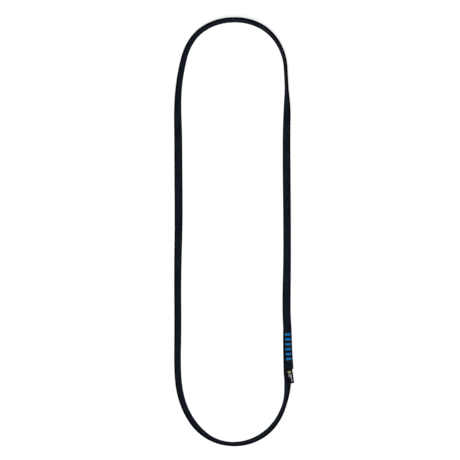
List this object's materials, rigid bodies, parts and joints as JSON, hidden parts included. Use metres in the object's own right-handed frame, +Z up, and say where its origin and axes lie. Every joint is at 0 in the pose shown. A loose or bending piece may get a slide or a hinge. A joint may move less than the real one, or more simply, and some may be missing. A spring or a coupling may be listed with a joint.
{
  "type": "sewn webbing sling",
  "caption": "Endless webbing sling: a black strap lapped on itself and sewn with blue bartacks, with a folded label in the seam.",
  "frame": {"origin": "middle of the laid-out loop, on the table it lies on", "axes": "+Z up from the table, +Y along the loop towards the bend far from the seam, +X towards the side that carries the seam"},
  "size_m": [0.1488, 0.5308, 0.0112],
  "materials": {
    "webbing": "matt black woven tape with a dense cross rib and rounded selvedges",
    "thread": "bright blue bonded sewing thread in dense zigzag",
    "label": null
  },
  "bodies": {
    "sling": {"webbing_loop": "webbing", "bartack_1": "thread", "bartack_2": "thread", "bartack_3": "thread", "bartack_4": "thread", "bartack_5": "thread", "bartack_6": "thread", "label_root": "label"},
    "label": {"label_flap": "label"}
  },
  "joints": [
    {"name": "label_fold", "type": "hinge", "parent": "sling", "child": "label", "pos_m": [0.06836, -0.17142, 0.0033], "axis": [-0.9976, -0.0692, 0], "range_deg": [0, 68], "stiffness_Nm_per_rad": 0.0001}
  ]
}
